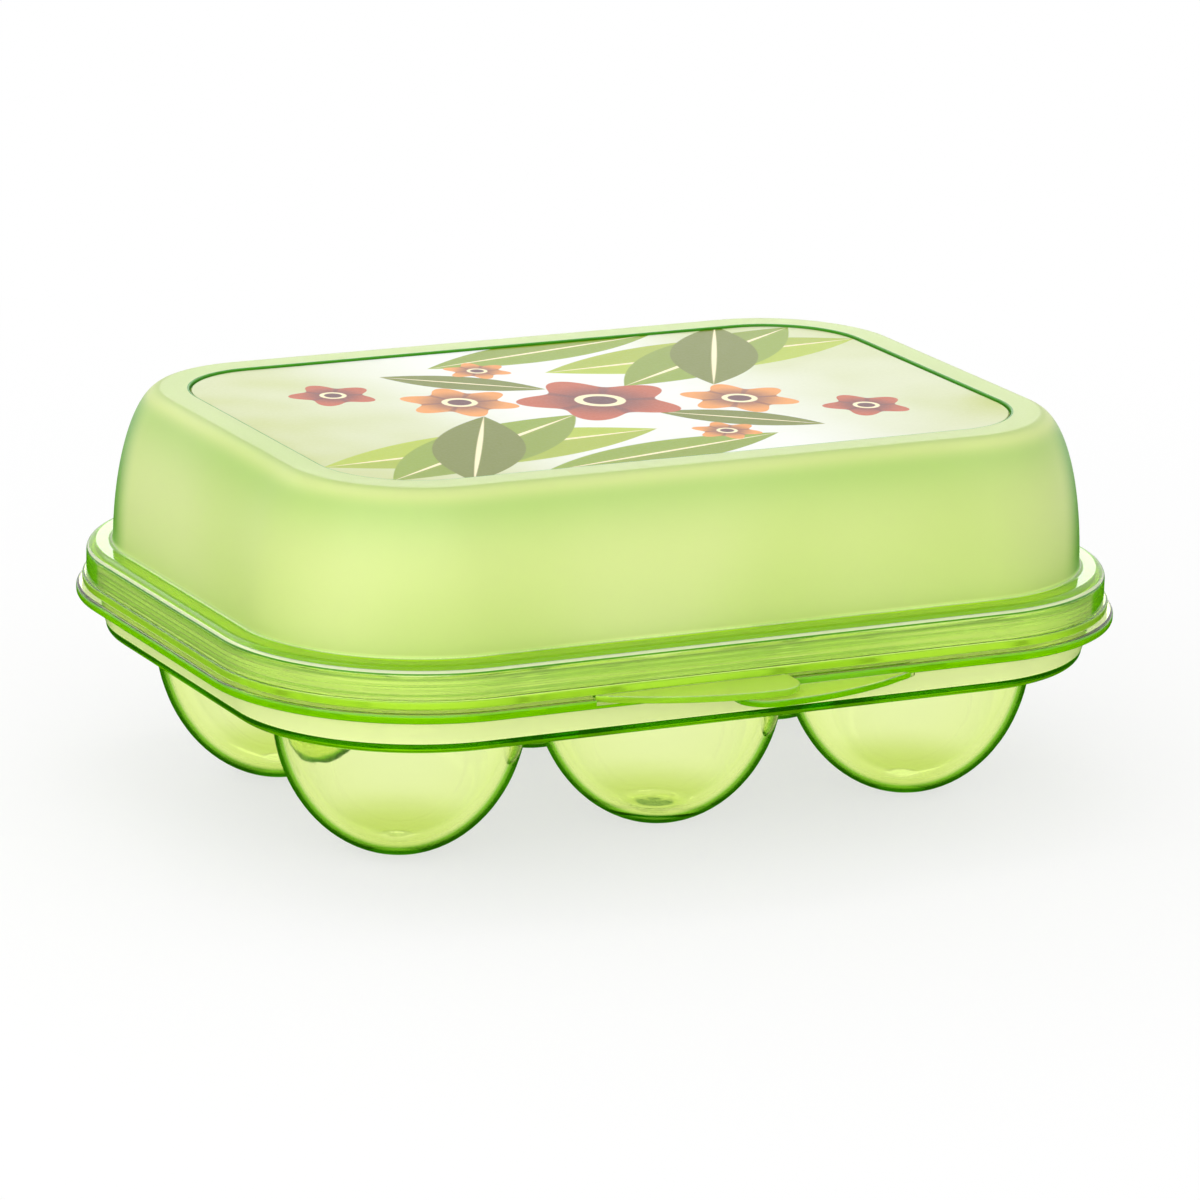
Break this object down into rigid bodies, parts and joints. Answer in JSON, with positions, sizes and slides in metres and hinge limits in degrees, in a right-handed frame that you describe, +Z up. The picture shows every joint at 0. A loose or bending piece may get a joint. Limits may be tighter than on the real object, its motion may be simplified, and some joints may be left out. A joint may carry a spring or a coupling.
{
  "type": "egg carrier box",
  "caption": "Rounded rectangular carrier for eggs: a clear tray with hemispherical cups under a domed lift-off lid, with a flat label panel on top and pull tabs in front.",
  "frame": {"origin": "on the ground, under the middle of the whole part with its pull tabs", "axes": "+X along the box's length, to the right as seen from the tabs; -Y towards the pull tabs at the front; +Z up"},
  "size_m": [0.1924, 0.148, 0.0786],
  "materials": {
    "tray_plastic": "clear green, polished",
    "cup_plastic": "clear green, polished",
    "lid_plastic": "frosted translucent green, satin, with a clear ledge and skirt",
    "label_print": "printed panel, satin"
  },
  "bodies": {
    "tray": {"tray_frame": "tray_plastic", "egg_cup_front_1": "cup_plastic", "egg_cup_front_2": "cup_plastic", "egg_cup_front_3": "cup_plastic", "egg_cup_back_1": "cup_plastic", "egg_cup_back_2": "cup_plastic", "egg_cup_back_3": "cup_plastic"},
    "lid": {"lid_shell": "lid_plastic", "lid_label": "label_print"}
  },
  "joints": [
    {"name": "lid_lift", "type": "slide", "parent": "tray", "child": "lid", "axis": [0, 0, 1], "range_m": [0, 0.08]}
  ]
}
